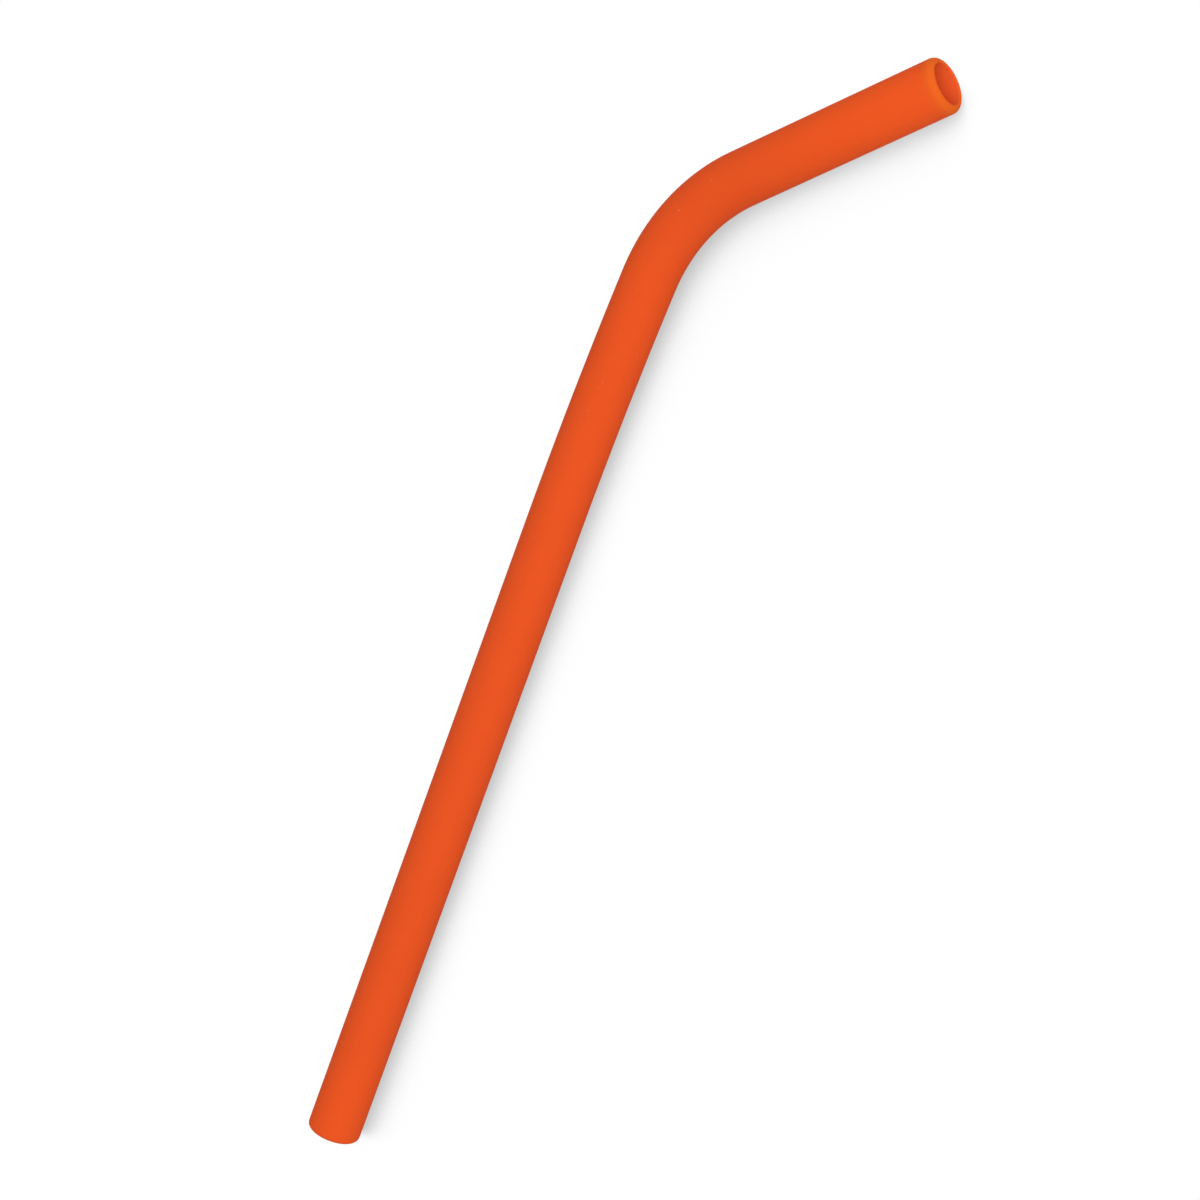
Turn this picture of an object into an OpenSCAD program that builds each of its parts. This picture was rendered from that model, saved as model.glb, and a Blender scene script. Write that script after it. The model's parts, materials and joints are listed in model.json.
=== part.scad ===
// Bent drinking straw, moulded in one piece of silicone, lying flat as it comes to rest.
// The long leg runs along +X and the short leg turns off towards -Y, with +Z up.
// The origin is on the surface that the straw lies on, under the middle of its outline.

/* [Tube] */
// Outer diameter of the tube
tube_d = 10; // [8:0.5:12]
// Thickness of the tube's wall
wall = 1.25; // [0.9:0.05:1.6]

/* [Long leg] */
// Length of the straight part of the long leg, from the foot to the bow
long_leg = 124; // [80:1:180]
// Radius of the slight bow that leads from the long leg into the bend, to the middle of the tube
bow_radius = 900; // [400:10:1200]
// Angle that the bow turns through
bow_angle = 3; // [1:0.5:6]

/* [Bend] */
// Radius of the bend, to the middle of the tube
bend_radius = 33; // [20:1:60]
// Angle that the bend turns through
bend_angle = 45; // [30:1:70]

/* [Short leg] */
// Length of the short leg, from the bend to the mouth
short_leg = 42; // [25:1:70]

/* [Ends] */
// Radius of the rounding round the outside of the mouth
mouth_round = 1.4; // [1:0.1:1.6]
// Radius of the rounding round the outside of the foot
foot_round = 1; // [0.8:0.1:1.2]
// Radius of the rounding round the bore at both ends
bore_round = 0.3; // [0.1:0.05:0.4]

/* [Hidden] */

silicone_orange = [0.91, 0.33, 0.14];

// Facets round the tube, round a full turn of a curve, and along each rounding
tube_facets = 96;
curve_facets = 360;
round_facets = 12;

// Each leg's root runs on into a curve by lap, and its wall thins there from both sides, so that
// its skins sink into the curve's wall. The curve's own wall is thinner by skin on each side.
lap = 0.25;
skin = 0.02;

tube_r = tube_d / 2;
bore_r = tube_r - wall;

// Points along the middle of the tube, seen from above, with the middle of the foot at [0, 0]
bend_start = [long_leg, 0] + turn(0, bow_angle, bow_radius);
tip_start = bend_start + turn(bow_angle, bend_angle, bend_radius);
tip_heading = bow_angle + bend_angle;
tip_end = tip_start + short_leg * ahead(tip_heading);

// Far corner of the outline, where the mouth's rounded edge is, and the middle of the outline
corner = tip_end + [edge_reach(mouth_round, tip_heading), -edge_reach(mouth_round, 90 - tip_heading)];
middle = [corner.x / 2, (tube_r + corner.y) / 2];

// Unit vector along a heading, which is measured clockwise from +X, and the one to the right of it
function ahead(heading) = [cos(heading), -sin(heading)];
function aside(heading) = [-sin(heading), -cos(heading)];

// Way from the start to the end of a turn to the right
function turn(heading, angle, radius) = radius * (aside(heading) - aside(heading + angle));

// How far the two roundings of an end run into each other across the wall
function round_overlap(outer_round) = max(0, outer_round + bore_round - wall);

// Depth of the outer rounding's centre below the crest of an end
function round_depth(outer_round) =
    bore_round + sqrt(pow(outer_round - bore_round, 2) - pow(round_overlap(outer_round), 2));

// Reach of an end past the middle of its crest, in a direction at an angle to its heading
function edge_reach(outer_round, angle) =
    outer_round + (tube_r - outer_round) * sin(angle) - round_depth(outer_round) * cos(angle);

// Points along an arc
function arc(centre, radius, from, to) =
    [for (i = [0 : round_facets])
        let (angle = from + (to - from) * i / round_facets)
        centre + radius * [cos(angle), sin(angle)]];

// Half-section of a leg, as distance from its middle and distance along it from where it starts
module leg_section(length, outer_round) {
    bore_centre = [bore_r + bore_round, length - bore_round];
    outer_centre = [tube_r - outer_round, length - round_depth(outer_round)];
    between = bore_centre - outer_centre;
    meeting = round_overlap(outer_round) > 0 ? atan2(between.y, between.x) : 90;
    polygon(concat(
        [[bore_r + 2 * skin, -lap], [bore_r, lap]],
        arc(bore_centre, bore_round, 180, meeting),
        arc(outer_centre, outer_round, meeting, 0),
        [[tube_r, lap], [tube_r - 2 * skin, -lap]]));
}

// Straight leg along +X, to its rounded end
module leg(length, outer_round) {
    rotate([0, 90, 0])
        rotate_extrude($fn = tube_facets)
            leg_section(length, outer_round);
}

// Stretch of tube that starts off along +X, turns to the right and runs on a little into a leg
module curve(radius, angle) {
    lap_angle = 2 * lap / radius * 180 / PI;
    translate([0, -radius, 0])
        rotate([0, 0, 90])
            mirror([0, 1, 0])
                rotate_extrude(angle = angle + lap_angle, $fn = curve_facets)
                    translate([radius, 0])
                        difference() {
                            circle(r = tube_r - skin, $fn = tube_facets);
                            circle(r = bore_r + skin, $fn = tube_facets);
                        }
}

// Places what starts off along +X at the end of such a stretch
module past_curve(radius, angle) {
    translate([0, -radius, 0])
        rotate([0, 0, -angle])
            translate([0, radius, 0])
                children();
}

// Curve and the leg that it leads into
module arm(radius, angle, length, outer_round) {
    curve(radius, angle);
    past_curve(radius, angle)
        leg(length, outer_round);
}

// Two arms, back to back where the bow becomes the bend
module straw() {
    color(silicone_orange)
        translate([bend_start.x - middle.x, bend_start.y - middle.y, tube_r])
            rotate([0, 0, -bow_angle]) {
                arm(bend_radius, bend_angle, short_leg, mouth_round);
                mirror([1, 0, 0])
                    arm(bow_radius, bow_angle, long_leg, foot_round);
            }
}

straw();
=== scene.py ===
"""Dresses the bent silicone drinking straw and sets it on a pale floor in soft studio light.

Lengths are in metres and angles in radians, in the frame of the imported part: the long leg lies
along +X, the short leg turns off towards -Y, and +Z is up from the surface that the straw lies on.
"""

import json
import logging
import math
from dataclasses import dataclass, field
from enum import Enum
from functools import reduce
from typing import Union

import bpy
from mathutils import Matrix, Vector


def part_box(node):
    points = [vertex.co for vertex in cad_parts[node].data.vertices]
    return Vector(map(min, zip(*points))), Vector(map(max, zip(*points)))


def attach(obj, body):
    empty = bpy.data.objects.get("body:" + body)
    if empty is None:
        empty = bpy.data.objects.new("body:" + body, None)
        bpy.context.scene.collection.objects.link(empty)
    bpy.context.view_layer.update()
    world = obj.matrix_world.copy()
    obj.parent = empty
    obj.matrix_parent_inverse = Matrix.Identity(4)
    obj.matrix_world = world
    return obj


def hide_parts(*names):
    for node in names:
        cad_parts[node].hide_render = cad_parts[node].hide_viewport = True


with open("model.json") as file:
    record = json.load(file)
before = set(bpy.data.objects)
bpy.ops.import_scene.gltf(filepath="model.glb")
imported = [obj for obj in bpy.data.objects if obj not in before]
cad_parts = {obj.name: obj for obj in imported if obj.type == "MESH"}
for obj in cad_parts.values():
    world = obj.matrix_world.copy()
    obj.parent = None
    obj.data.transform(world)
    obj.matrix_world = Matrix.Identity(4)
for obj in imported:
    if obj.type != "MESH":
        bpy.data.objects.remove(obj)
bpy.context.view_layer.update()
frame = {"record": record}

log = logging.getLogger("straw")

NODE = "straw"
BODY = "root"

# Attribute of the mesh that keeps where each point is in the straight tube: aside, up and along
STRAIGHT = "straight"

WHITE = (1.0, 1.0, 1.0, 1.0)

# Sockets of the Mix node that mixes colours: its share, its two colours, and its result
MIX_SHARE, MIX_FIRST, MIX_SECOND, MIX_RESULT = 0, 6, 7, 2

# How many finer layers soft noise has over its patches
NOISE_DETAIL = 1.0

Colour = tuple[float, float, float]
Number = Union[float, "Signal"]
Feed = Union[float, int, str, tuple, Vector, bpy.types.ID, bpy.types.NodeSocket, "Signal"]


class Signal:
    """A number on a node's socket, on which node maths is written as a Python expression."""

    def __init__(self, bench: "Bench", socket: bpy.types.NodeSocket) -> None:
        """Wraps a socket that carries a number, in the tree that it is in."""
        self.bench = bench
        self.socket = socket

    def maths(self, operation: str, *values: Feed) -> "Signal":
        """Returns the result of a Math node, from its operation and its inputs in order."""
        return self.bench.number("ShaderNodeMath", {"operation": operation}, dict(enumerate(values)))

    def __add__(self, other: Number) -> "Signal":
        """Returns self + other."""
        return self.maths("ADD", self, other)

    def __radd__(self, other: Number) -> "Signal":
        """Returns other + self."""
        return self.maths("ADD", other, self)

    def __sub__(self, other: Number) -> "Signal":
        """Returns self - other."""
        return self.maths("SUBTRACT", self, other)

    def __rsub__(self, other: Number) -> "Signal":
        """Returns other - self."""
        return self.maths("SUBTRACT", other, self)

    def __mul__(self, other: Number) -> "Signal":
        """Returns self * other."""
        return self.maths("MULTIPLY", self, other)

    def __rmul__(self, other: Number) -> "Signal":
        """Returns other * self."""
        return self.maths("MULTIPLY", other, self)

    def __truediv__(self, other: Number) -> "Signal":
        """Returns self / other."""
        return self.maths("DIVIDE", self, other)

    def __rtruediv__(self, other: Number) -> "Signal":
        """Returns other / self."""
        return self.maths("DIVIDE", other, self)

    def __neg__(self) -> "Signal":
        """Returns -self."""
        return self.maths("MULTIPLY", self, -1.0)

    def least(self, other: Number) -> "Signal":
        """Returns the smaller of self and other."""
        return self.maths("MINIMUM", self, other)

    def most(self, other: Number) -> "Signal":
        """Returns the larger of self and other."""
        return self.maths("MAXIMUM", self, other)

    def between(self, low: Number, high: Number) -> "Signal":
        """Returns self held between two limits."""
        return self.most(low).least(high)

    def equals(self, whole: int) -> "Signal":
        """Returns 1 where self is a whole number, give or take a half, and 0 elsewhere."""
        return self.maths("COMPARE", self, whole, 0.5)

    def sine(self) -> "Signal":
        """Returns the sine of self."""
        return self.maths("SINE", self)

    def cosine(self) -> "Signal":
        """Returns the cosine of self."""
        return self.maths("COSINE", self)

    def tangent(self) -> "Signal":
        """Returns the tangent of self."""
        return self.maths("TANGENT", self)

    def arcsine(self) -> "Signal":
        """Returns the angle whose sine is self."""
        return self.maths("ARCSINE", self)

    def root(self) -> "Signal":
        """Returns the square root of self."""
        return self.maths("SQRT", self)

    def wrapped(self, count: Number) -> "Signal":
        """Returns self, which starts again from 0 at count."""
        return self.maths("MODULO", self, count)

    def whole(self) -> "Signal":
        """Returns self without its fraction."""
        return self.maths("FLOOR", self)

    def ramp(self, low: float, high: float) -> "Signal":
        """Returns 0 at low, 1 at high, which may be below low, and a smooth step between them."""
        feeds = {"Value": self, "From Min": low, "From Max": high}
        return self.bench.number("ShaderNodeMapRange", {"interpolation_type": "SMOOTHSTEP"}, feeds)


class Bench:
    """A node tree that is being written."""

    def __init__(self, tree: bpy.types.NodeTree) -> None:
        """Takes a tree and empties it."""
        self.tree = tree
        tree.nodes.clear()

    def node(self, kind: str, settings: dict[str, object] | None = None,
             feeds: dict[int | str, Feed] | None = None) -> bpy.types.Node:
        """Makes one node.

        Args:
            kind: Blender's name for the type of node.
            settings: The node's own settings, which are set first.
            feeds: A value or a link for each socket, by its name or its number.

        Returns:
            The node.
        """
        made = self.tree.nodes.new(kind)
        for name, value in (settings or {}).items():
            setattr(made, name, value)
        for key, feed in (feeds or {}).items():
            source = feed.socket if isinstance(feed, Signal) else feed
            if isinstance(source, bpy.types.NodeSocket):
                self.tree.links.new(source, made.inputs[key])
            else:
                made.inputs[key].default_value = source
        return made

    def number(self, kind: str, settings: dict[str, object] | None = None,
               feeds: dict[int | str, Feed] | None = None, output: int | str = 0) -> Signal:
        """Makes one node in the same way, and returns the number on one of its outputs."""
        return Signal(self, self.node(kind, settings, feeds).outputs[output])

    def vector(self, x: Number, y: Number, z: Number = 0.0) -> bpy.types.NodeSocket:
        """Returns the vector of three numbers."""
        return self.node("ShaderNodeCombineXYZ", feeds={0: x, 1: y, 2: z}).outputs[0]

    def parts(self, vector: bpy.types.NodeSocket) -> list[Signal]:
        """Returns the three numbers of a vector."""
        split = self.node("ShaderNodeSeparateXYZ", feeds={0: vector})
        return [Signal(self, part) for part in split.outputs]

    def gap(self, first: Feed, second: Feed) -> Signal:
        """Returns the distance between two places."""
        feeds = {0: first, 1: second}
        return self.number("ShaderNodeVectorMath", {"operation": "DISTANCE"}, feeds, "Value")

    def noise(self, place: bpy.types.NodeSocket, size: float) -> Signal:
        """Returns soft noise whose patches have a given size."""
        feeds = {"Vector": place, "Scale": 1.0 / size, "Detail": NOISE_DETAIL}
        return self.number("ShaderNodeTexNoise", feeds=feeds)

    def blend(self, share: Signal, first: Feed, second: Colour) -> bpy.types.NodeSocket:
        """Mixes two colours.

        Args:
            share: How much of the second colour shows.
            first: The first colour, or the socket that has it.
            second: The second colour.

        Returns:
            The mixed colour.
        """
        first = (*first, 1.0) if isinstance(first, tuple) else first
        feeds = {MIX_SHARE: share, MIX_FIRST: first, MIX_SECOND: (*second, 1.0)}
        return self.node("ShaderNodeMix", {"data_type": "RGBA"}, feeds).outputs[MIX_RESULT]


@dataclass(frozen=True)
class TubeSizes:
    """Sizes of the tube, as it is moulded. In a node tree, the tree's inputs stand for the numbers."""

    tube_radius: Number = 0.005
    wall: Number = 0.00125
    long_leg: Number = 0.124
    bow_radius: Number = 0.9
    bow_angle: Number = math.radians(3)
    bend_radius: Number = 0.033
    bend_angle: Number = math.radians(45)
    short_leg: Number = 0.042
    mouth_round: Number = 0.0014
    foot_round: Number = 0.001
    bore_round: Number = 0.0003

    @property
    def bore_radius(self) -> Number:
        """Radius of the bore."""
        return self.tube_radius - self.wall

    @property
    def length(self) -> Number:
        """Length along the middle of the tube."""
        curves = self.bow_radius * self.bow_angle + self.bend_radius * self.bend_angle
        return self.long_leg + curves + self.short_leg


@dataclass(frozen=True)
class Fineness:
    """How finely the tube's mesh is cut: round the tube, along each rounding, and between two rings."""

    facets: Number = 128
    round_facets: Number = 12
    longest_step: Number = 0.00125


class Corner(Enum):
    """Corners of the tube's half-section, in order."""

    FOOT_SKIN = 0
    MOUTH_SKIN = 1
    MOUTH_BORE = 2
    FOOT_BORE = 3


class TubeTree:
    """Geometry Nodes that spin the tube's half-section round a line and bend the result along its path.

    The half-section is a closed line: outer skin, lip of the mouth, bore, and rim of the foot.
    KIND is the socket for each kind of value, and points closer than SEAM are merged.
    """

    KIND = {float: "NodeSocketFloat", int: "NodeSocketInt", Vector: "NodeSocketVector",
            bpy.types.Material: "NodeSocketMaterial"}
    SEAM = 0.000001

    def __init__(self, sizes: TubeSizes, fineness: Fineness, foot: Vector,
                 finish: bpy.types.Material) -> None:
        """Writes the tree.

        Args:
            sizes: Sizes of the tube.
            fineness: How finely its mesh is cut.
            foot: The middle of the foot.
            finish: Material of the tube.
        """
        self.tree = bpy.data.node_groups.new("moulded_tube", "GeometryNodeTree")
        self.bench = Bench(self.tree)
        self.values = {**vars(sizes), **vars(fineness), "foot": foot, "finish": finish}
        self.sockets = {name: self._input(name, value) for name, value in self.values.items()}
        self.tree.interface.new_socket("Tube", in_out="OUTPUT", socket_type="NodeSocketGeometry")
        group = self.bench.node("NodeGroupInput")
        signals = {name: Signal(self.bench, group.outputs[self._title(name)]) for name in self.values}
        self.size = TubeSizes(**{name: signals[name] for name in vars(sizes)})
        self.cut = Fineness(**{name: signals[name] for name in vars(fineness)})
        self.foot = signals["foot"]
        self.finish = signals["finish"]
        self._finish(self._bent(self._spun(self._section())))

    @staticmethod
    def _title(name: str) -> str:
        """Returns the name of an input, as it shows on the modifier."""
        return name.replace("_", " ").capitalize()

    def _input(self, name: str, value: object) -> bpy.types.NodeTreeInterfaceSocket:
        """Adds one named input to the tree."""
        kind = next(socket for type_, socket in self.KIND.items() if isinstance(value, type_))
        return self.tree.interface.new_socket(self._title(name), in_out="INPUT", socket_type=kind)

    def _corners(self, outer_round: Signal) -> tuple[Signal, Signal]:
        """Finds the two corners of an end's half-section, which its roundings then round off.

        The outer rounding runs into the bore's where both have the same slope.

        Args:
            outer_round: Radius of the rounding round the outside of the end.

        Returns:
            How far below the crest of the end the corner on the skin and the one on the bore lie.
        """
        inner_round = self.size.bore_round
        overlap = (outer_round + inner_round - self.size.wall).most(0.0)
        apart = outer_round - inner_round
        meeting = (overlap / apart).arcsine()
        depth = inner_round + (apart * apart - overlap * overlap).root()
        skin = depth - outer_round * ((math.pi / 2 - meeting) / 2.0).tangent()
        bore = inner_round - inner_round * ((math.pi / 2 + meeting) / 2.0).tangent()
        return skin, bore

    def _section(self) -> bpy.types.NodeSocket:
        """Draws the half-section, as distance out from the skin and distance back from the foot.

        Returns:
            The closed curve, with its long sides cut into short steps.
        """
        bench, size = self.bench, self.size
        length = size.length
        bore = -size.wall
        foot_skin, foot_bore = self._corners(size.foot_round)
        mouth_skin, mouth_bore = self._corners(size.mouth_round)
        corners = {Corner.FOOT_SKIN: (0.0, foot_skin), Corner.MOUTH_SKIN: (0.0, length - mouth_skin),
                   Corner.MOUTH_BORE: (bore, length - mouth_bore), Corner.FOOT_BORE: (bore, foot_bore)}
        places = {f"Point {corner.value + 1}": bench.vector(out, -along)
                  for corner, (out, along) in corners.items()}
        outline = bench.node("GeometryNodeCurvePrimitiveQuadrilateral", {"mode": "POINTS"}, places)
        index = bench.number("GeometryNodeInputIndex")
        at_mouth = index.equals(Corner.MOUTH_SKIN.value)
        at_foot = index.equals(Corner.FOOT_SKIN.value)
        radius = (at_mouth * size.mouth_round + at_foot * size.foot_round
                  + (1.0 - at_mouth - at_foot) * size.bore_round)
        rounded = bench.node("GeometryNodeFilletCurve", {"mode": "POLY"}, {
            "Curve": outline.outputs[0], "Count": self.cut.round_facets, "Radius": radius})
        return self._cut_up(rounded.outputs[0])

    def _cut_up(self, curve: bpy.types.NodeSocket) -> bpy.types.NodeSocket:
        """Cuts whatever is longer than the longest step.

        Args:
            curve: A closed curve.

        Returns:
            The same curve with more points on its long sides.
        """
        bench = self.bench
        place = bench.node("GeometryNodeInputPosition").outputs[0]
        count = bench.number("GeometryNodeSplineLength", output="Point Count")
        onward = (bench.number("GeometryNodeInputIndex") + 1.0).wrapped(count)
        following = bench.node("GeometryNodeFieldAtIndex", {"data_type": "FLOAT_VECTOR", "domain": "POINT"},
                               {"Index": onward, "Value": place})
        cuts = (bench.gap(place, following.outputs[0]) / self.cut.longest_step).whole()
        return bench.node("GeometryNodeSubdivideCurve", feeds={"Curve": curve, "Cuts": cuts}).outputs[0]

    def _spun(self, section: bpy.types.NodeSocket) -> bpy.types.NodeSocket:
        """Spins the half-section round the line.

        Args:
            section: The half-section.

        Returns:
            The straight tube.
        """
        circle = self.bench.node("GeometryNodeCurvePrimitiveCircle", {"mode": "RADIUS"}, {
            "Resolution": self.cut.facets, "Radius": self.size.tube_radius})
        return self.bench.node("GeometryNodeCurveToMesh", feeds={
            "Curve": circle.outputs[0], "Profile Curve": section}).outputs[0]

    def _bent(self, tube: bpy.types.NodeSocket) -> bpy.types.NodeSocket:
        """Keeps where each point of the straight tube is, and bends the tube along its path.

        Args:
            tube: The straight tube.

        Returns:
            The bent tube, in its place.
        """
        bench, size = self.bench, self.size
        straight = bench.node("GeometryNodeInputPosition").outputs[0]
        kept = bench.node(
            "GeometryNodeStoreNamedAttribute", {"data_type": "FLOAT_VECTOR", "domain": "POINT"},
            {"Geometry": tube, "Name": STRAIGHT, "Value": straight})
        aside, up, along = bench.parts(straight)
        bow = ((along - size.long_leg) / size.bow_radius).between(0.0, size.bow_angle)
        past_bow = along - size.long_leg - size.bow_radius * size.bow_angle
        heading = bow + (past_bow / size.bend_radius).between(0.0, size.bend_angle)
        tip = (past_bow - size.bend_radius * size.bend_angle).most(0.0)
        step = size.bow_radius - size.bend_radius
        reach = size.bend_radius - aside
        ahead = (along.least(size.long_leg) + step * bow.sine()
                 + reach * heading.sine() + tip * heading.cosine())
        left = (step * bow.cosine() - size.bow_radius
                + reach * heading.cosine() - tip * heading.sine())
        return bench.node("GeometryNodeSetPosition", feeds={
            "Geometry": kept.outputs[0], "Position": bench.vector(ahead, left, up),
            "Offset": self.foot}).outputs[0]

    def _finish(self, tube: bpy.types.NodeSocket) -> None:
        """Closes the seams between roundings, smooths the shading and sets the material.

        Args:
            tube: The bent tube.
        """
        bench = self.bench
        closed = bench.node("GeometryNodeMergeByDistance", feeds={"Geometry": tube, "Distance": self.SEAM})
        smooth = bench.node("GeometryNodeSetShadeSmooth", feeds={"Geometry": closed.outputs[0]})
        real = bench.node("GeometryNodeRealizeInstances", feeds={"Geometry": smooth.outputs[0]})
        dressed = bench.node("GeometryNodeSetMaterial", feeds={
            "Geometry": real.outputs[0], "Material": self.finish})
        bench.node("NodeGroupOutput", feeds={0: dressed.outputs[0]})

    def mesh(self, name: str) -> bpy.types.Object:
        """Runs the tree.

        Args:
            name: Name of the new object.

        Returns:
            A plain mesh object with the tree's result.
        """
        piece = bpy.data.objects.new(name, bpy.data.meshes.new(name + "_seed"))
        bpy.context.scene.collection.objects.link(piece)
        modifier = piece.modifiers.new(self.tree.name, "NODES")
        modifier.node_group = self.tree
        for key, value in self.values.items():
            modifier[self.sockets[key].identifier] = value
        depsgraph = bpy.context.evaluated_depsgraph_get()
        made = bpy.data.meshes.new_from_object(piece.evaluated_get(depsgraph), depsgraph=depsgraph)
        piece.modifiers.clear()
        piece.data = made
        return piece


class Mark(Enum):
    """Kinds of small mark on the silicone."""

    LINT = "lint"
    NICK = "nick"


@dataclass(frozen=True)
class Speck:
    """A small mark on the skin or in the bore: where it is, its radius and how clearly it shows.

    Its angle round the tube goes from the tube's right side over its top.
    """

    kind: Mark
    along: float
    round_angle: float
    size: float
    strength: float
    in_bore: bool = False

    def place(self, sizes: TubeSizes) -> Vector:
        """Returns where the mark is in the straight tube."""
        out = sizes.bore_radius if self.in_bore else sizes.tube_radius
        return Vector((out * math.cos(self.round_angle), out * math.sin(self.round_angle), self.along))


@dataclass(frozen=True)
class SiliconeFinish:
    """Matte silicone rubber, coloured through; the bore and both ends are lighter with painted light."""

    name: str = "silicone_orange"
    deep: Colour = (0.85, 0.093, 0.0155)
    light: Colour = (0.89, 0.101, 0.0175)
    # Painted light: the next three colours are lighter than the body, standing in for light through the
    # thin wall near the ends, on the lip and in the bore
    painted_end_light: Colour = (0.945, 0.107, 0.0165)
    lip: Colour = (0.9, 0.139, 0.0145)
    bore: Colour = (0.95, 0.14, 0.03)
    marks: dict[Mark, Colour] = field(default_factory=lambda: {
        Mark.LINT: (0.97, 0.36, 0.13), Mark.NICK: (0.6, 0.07, 0.02)})
    cloud_size: float = 0.008
    grain_size: float = 0.0005
    grain_share: float = 0.3
    # Reach and share of the painted light near the mouth and foot, on the lip and foot rim, and in the bore
    mouth_fade: float = 0.045
    foot_fade: float = 0.03
    foot_share: float = 0.5
    lip_width: float = 0.0028
    lip_edge: float = 0.0002
    rim_width: float = 0.001
    rim_share: float = 0.3
    bore_edge: float = 0.000125
    roughness: float = 0.64
    roughness_change: float = 0.12
    specular_level: float = 0.05
    pit_size: float = 0.0002
    pit_depth: float = 0.00001
    glow: float = 0.12
    glow_colour: Colour = (1.0, 0.5, 0.3)
    glow_depth: float = 0.0005

    def material(self, sizes: TubeSizes, specks: tuple[Speck, ...]) -> bpy.types.Material:
        """Mixes the finish.

        Args:
            sizes: Sizes of the tube.
            specks: The small marks on it.

        Returns:
            The material.
        """
        material = bpy.data.materials.new(self.name)
        material.use_nodes = True
        bench = Bench(material.node_tree)
        place = bench.node("ShaderNodeTexCoord").outputs["Object"]
        straight = bench.node("ShaderNodeAttribute", {"attribute_name": STRAIGHT}).outputs["Vector"]
        grain = bench.noise(place, self.grain_size)
        clouds = bench.noise(place, self.cloud_size) * (1.0 - self.grain_share) + grain * self.grain_share
        body = bench.blend(clouds, self.deep, self.light)
        # Painted light on the ends, lip, rim and bore goes over the body colour, then the marks go on
        colour = self._marked(bench, straight, self._painted_light(bench, straight, body, sizes), sizes, specks)
        pits = bench.node("ShaderNodeBump", feeds={
            "Height": bench.noise(place, self.pit_size), "Distance": self.pit_depth})
        shader = bench.node("ShaderNodeBsdfPrincipled", {"subsurface_method": "RANDOM_WALK"}, {
            "Base Color": colour, "Roughness": grain * self.roughness_change + self.roughness,
            "Normal": pits.outputs[0], "Specular IOR Level": self.specular_level,
            "Subsurface Weight": self.glow, "Subsurface Radius": self.glow_colour,
            "Subsurface Scale": self.glow_depth})
        bench.node("ShaderNodeOutputMaterial", feeds={"Surface": shader.outputs[0]})
        return material

    def _painted_light(self, bench: Bench, straight: bpy.types.NodeSocket, body: bpy.types.NodeSocket,
                 sizes: TubeSizes) -> bpy.types.NodeSocket:
        """Paints light on the ends, the lip of the mouth, the rim of the foot and the bore, as lighter
        colour.

        Args:
            bench: The tree of the material.
            straight: Where a point is in the straight tube.
            body: Colour of the silicone.
            sizes: Sizes of the tube.

        Returns:
            The colour of the whole tube.
        """
        aside, up, along = bench.parts(straight)
        # Shares of painted light: near the mouth and foot, on the lip and foot rim, and in the bore
        mouth = along.ramp(sizes.length - self.mouth_fade, sizes.length - self.lip_width)
        foot = along.ramp(self.foot_fade, 0.0) * self.foot_share
        lip = along.ramp(sizes.length - self.lip_width, sizes.length - self.lip_edge)
        rim = along.ramp(self.rim_width, 0.0) * self.rim_share
        out = (aside * aside + up * up).root()
        bore = out.ramp(sizes.bore_radius + self.bore_edge, sizes.bore_radius)
        ends = bench.blend(mouth + foot, body, self.painted_end_light)
        return bench.blend(bore, bench.blend(lip + rim, ends, self.lip), self.bore)

    def _marked(self, bench: Bench, straight: bpy.types.NodeSocket, plain: bpy.types.NodeSocket,
                sizes: TubeSizes, specks: tuple[Speck, ...]) -> bpy.types.NodeSocket:
        """Adds the small marks.

        Args:
            bench: The tree of the material.
            straight: Where a point is in the straight tube.
            plain: Colour of the tube without marks.
            sizes: Sizes of the tube.
            specks: The marks of all kinds.

        Returns:
            The colour with the marks on it.
        """
        colour = plain
        for kind, tint in self.marks.items():
            shares = [bench.gap(straight, speck.place(sizes)).ramp(speck.size, 0.0) * speck.strength
                      for speck in specks if speck.kind is kind]
            colour = bench.blend(reduce(Signal.most, shares), colour, tint)
        return colour


@dataclass
class Straw:
    """The moulded tube of the straw."""

    sizes: TubeSizes = field(default_factory=TubeSizes)
    fineness: Fineness = field(default_factory=Fineness)
    finish: SiliconeFinish = field(default_factory=SiliconeFinish)
    specks: tuple[Speck, ...] = (
        Speck(Mark.LINT, along=0.1859, round_angle=math.radians(88), size=0.00026, strength=0.5),
        Speck(Mark.LINT, along=0.1939, round_angle=math.radians(97), size=0.0004, strength=0.15),
        Speck(Mark.LINT, along=0.1520, round_angle=math.radians(66), size=0.00022, strength=0.3),
        Speck(Mark.LINT, along=0.1509, round_angle=math.radians(71), size=0.0004, strength=0.12),
        Speck(Mark.LINT, along=0.1464, round_angle=math.radians(73), size=0.0004, strength=0.12),
        Speck(Mark.NICK, along=0.2385, round_angle=math.radians(218.5), size=0.0003, strength=0.6,
              in_bore=True))

    def foot(self) -> Vector:
        """Returns the middle of the foot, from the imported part."""
        bore = next(mount for mount in frame["record"]["mounts"] if mount["name"] == "foot_bore")
        return Vector((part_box(NODE)[0].x, bore["pos_m"][1], bore["pos_m"][2]))

    def build(self) -> bpy.types.Object:
        """Builds the tube in place of the plain solid.

        Returns:
            The tube.
        """
        silicone = self.finish.material(self.sizes, self.specks)
        tube = TubeTree(self.sizes, self.fineness, self.foot(), silicone).mesh("silicone_tube")
        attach(tube, BODY)
        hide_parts(NODE)
        return tube


def direction(azimuth: float, elevation: float) -> Vector:
    """Returns the unit vector towards an azimuth, from +X over +Y, and an elevation above the floor."""
    flat = math.cos(elevation)
    return Vector((flat * math.cos(azimuth), flat * math.sin(azimuth), math.sin(elevation)))


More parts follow.
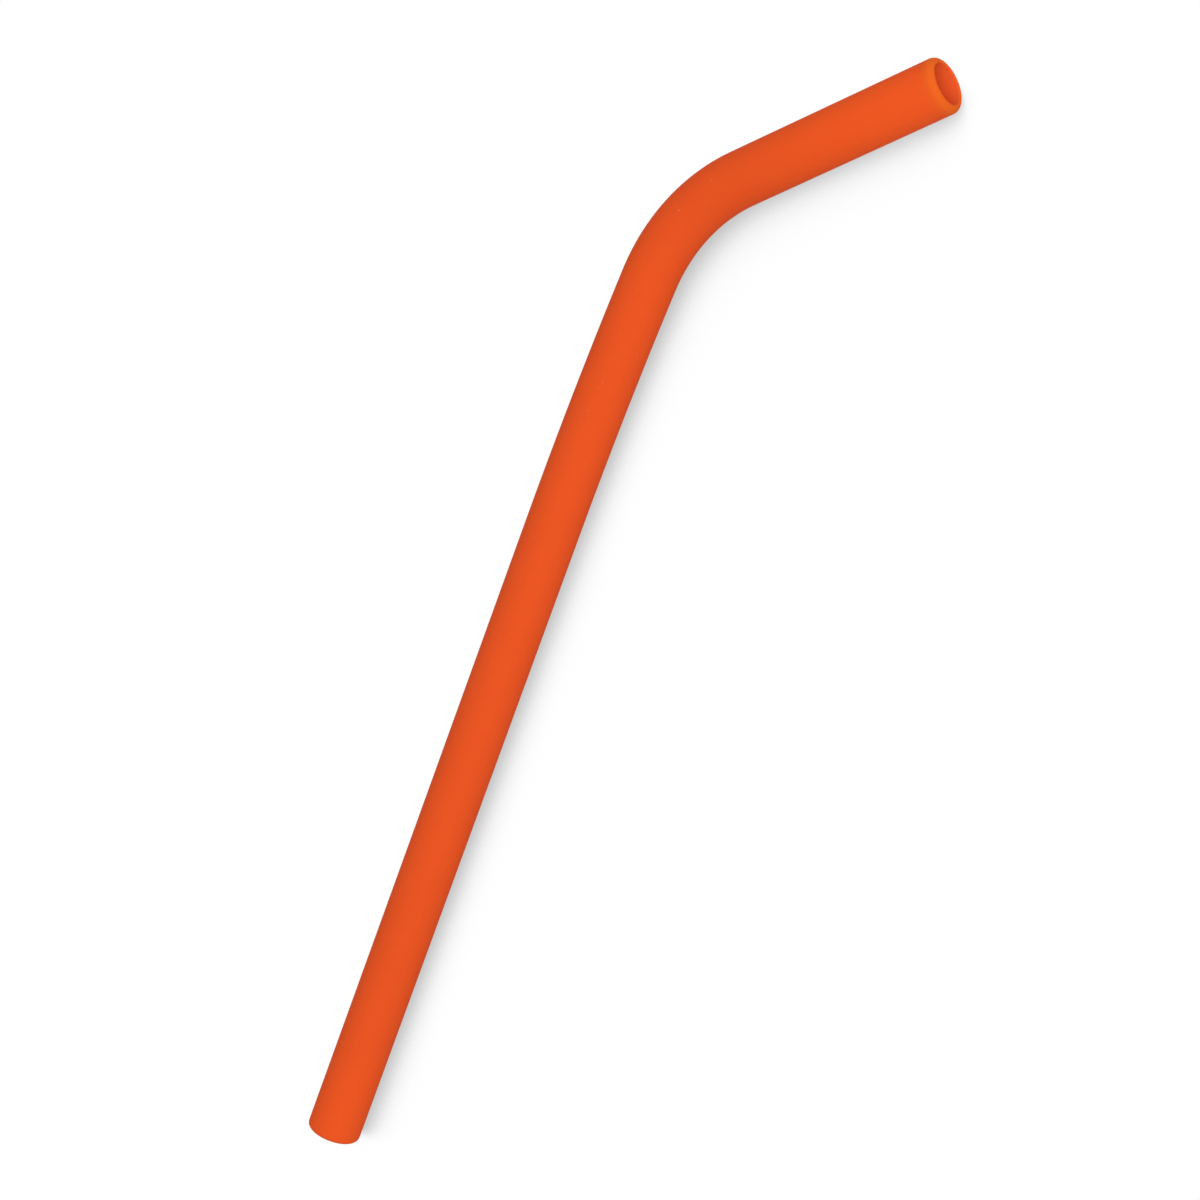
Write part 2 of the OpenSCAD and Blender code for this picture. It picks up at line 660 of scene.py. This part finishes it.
def seen(bench: Bench) -> Signal:
    """Tells rays that show a background from those that light the straw.

    Args:
        bench: The tree of the floor or the world.

    Returns:
        1 for camera, glossy and transmission rays, and 0 for the others.
    """
    path = bench.node("ShaderNodeLightPath")
    rays = [Signal(bench, path.outputs[f"Is {kind} Ray"]) for kind in ("Camera", "Glossy", "Transmission")]
    return reduce(Signal.most, rays)


@dataclass(frozen=True)
class Floor:
    """Pale floor, on which the camera sees a soft grey shadow at one side of the straw.

    The shadow is worked out from how much the straw hides of a broad light at its other side.
    """

    width: float = 4.0
    paint: Colour = (0.6, 0.6, 0.6)
    light_azimuth: float = math.radians(64)
    light_elevation: float = math.radians(45)
    shadow_reach: float = 0.05
    shadow_rays: int = 12
    darkest: float = 0.33
    darkest_share: float = -0.1
    clear_share: float = 0.6

    def build(self) -> bpy.types.Object:
        """Lays the floor on the surface that the straw lies on.

        Returns:
            The floor.
        """
        half = self.width / 2
        corners = [(-half, -half, 0), (half, -half, 0), (half, half, 0), (-half, half, 0)]
        mesh = bpy.data.meshes.new("floor")
        mesh.from_pydata(corners, [], [range(len(corners))])
        mesh.materials.append(self._material())
        floor = bpy.data.objects.new("floor", mesh)
        bpy.context.scene.collection.objects.link(floor)
        return floor

    def _material(self) -> bpy.types.Material:
        """Mixes the paint, which lights the straw from below and shows the camera white with a shadow.

        Returns:
            The material.
        """
        material = bpy.data.materials.new("pale_floor")
        material.use_nodes = True
        bench = Bench(material.node_tree)
        plain = bench.node("ShaderNodeBsdfDiffuse", feeds={"Color": (*self.paint, 1.0)})
        shown = bench.node("ShaderNodeEmission", feeds={"Color": self._shadow(bench)})
        mixed = bench.node("ShaderNodeMixShader", feeds={
            0: seen(bench), 1: plain.outputs[0], 2: shown.outputs[0]})
        bench.node("ShaderNodeOutputMaterial", feeds={"Surface": mixed.outputs[0]})
        return material

    def _shadow(self, bench: Bench) -> Signal:
        """Works out the soft shadow.

        Args:
            bench: The tree of the floor's material.

        Returns:
            The floor's brightness, which is 1 where it is clear of the shadow.
        """
        light = bench.vector(*direction(self.light_azimuth, self.light_elevation))
        open_share = bench.number("ShaderNodeAmbientOcclusion", {"samples": self.shadow_rays}, {
            "Distance": self.shadow_reach, "Normal": light}, "AO")
        return open_share.ramp(self.darkest_share, self.clear_share) * (1.0 - self.darkest) + self.darkest


@dataclass(frozen=True)
class SoftBox:
    """A square soft light. Its level is how bright it alone makes a white card that faces it."""

    name: str
    azimuth: float
    elevation: float
    width: float
    level: float
    distance: float = 1.2

    def build(self, target: Vector) -> bpy.types.Object:
        """Hangs the light, facing a point.

        Args:
            target: The point that it faces.

        Returns:
            The light.
        """
        lamp = bpy.data.lights.new(self.name, "AREA")
        lamp.shape = "SQUARE"
        lamp.size = self.width
        lamp.energy = self.level * (math.pi * self.distance) ** 2
        light = bpy.data.objects.new(self.name, lamp)
        bpy.context.scene.collection.objects.link(light)
        away = direction(self.azimuth, self.elevation)
        turn = away.to_track_quat("Z", "Y").to_matrix().to_4x4()
        light.matrix_world = Matrix.Translation(target + away * self.distance) @ turn
        return light


@dataclass(frozen=True)
class Studio:
    """Soft light from all round, a broad light from the camera's side, and two fainter, lower ones."""

    sky_level: float = 0.42
    boxes: tuple[SoftBox, ...] = (
        SoftBox("key_light", azimuth=math.radians(-72), elevation=math.radians(52.5),
                width=0.9, level=0.62),
        SoftBox("mouth_light", azimuth=math.radians(15), elevation=math.radians(20),
                width=0.9, level=0.1),
        SoftBox("back_light", azimuth=math.radians(100), elevation=math.radians(9),
                width=0.35, level=0.045))

    def build(self, target: Vector) -> None:
        """Lights the scene.

        Args:
            target: The point that the lights face.
        """
        world = bpy.data.worlds.new("studio")
        bpy.context.scene.world = world
        world.use_nodes = True
        bench = Bench(world.node_tree)
        sky = bench.node("ShaderNodeBackground", feeds={"Color": WHITE, "Strength": self.sky_level})
        backdrop = bench.node("ShaderNodeBackground", feeds={"Color": WHITE})
        mixed = bench.node("ShaderNodeMixShader", feeds={
            0: seen(bench), 1: sky.outputs[0], 2: backdrop.outputs[0]})
        bench.node("ShaderNodeOutputWorld", feeds={"Surface": mixed.outputs[0]})
        for box in self.boxes:
            box.build(target)
        bpy.context.scene.view_settings.view_transform = "Standard"


@dataclass(frozen=True)
class View:
    """The camera, at the photograph's viewing angle."""

    target: tuple[float, float, float] = (0.00315, 0.00596, 0.005)
    azimuth: float = math.radians(-65.65)
    elevation: float = math.radians(55.31)
    distance: float = 0.59371
    roll: float = math.radians(-90.147)
    lens: float = 100.851

    def build(self) -> bpy.types.Object:
        """Sets up the scene's camera.

        Returns:
            The camera.
        """
        data = bpy.data.cameras.new("camera")
        data.lens = self.lens
        camera = bpy.data.objects.new("camera", data)
        bpy.context.scene.collection.objects.link(camera)
        away = direction(self.azimuth, self.elevation)
        upright = away.to_track_quat("Z", "Y").to_matrix().to_4x4()
        place = Matrix.Translation(Vector(self.target) + away * self.distance)
        camera.matrix_world = place @ upright @ Matrix.Rotation(self.roll, 4, "Z")
        bpy.context.scene.camera = camera
        return camera


def main() -> None:
    """Builds the camera, the lights, the floor and the straw, and logs how many faces the floor and the
    straw have.
    """
    logging.basicConfig(level=logging.INFO, format="%(name)s: %(message)s")
    view = View()
    view.build()
    Studio().build(Vector(view.target))
    for piece in (Floor().build(), Straw().build()):
        log.info("%s: %d faces", piece.name, len(piece.data.polygons))


if __name__ == "__main__":
    main()
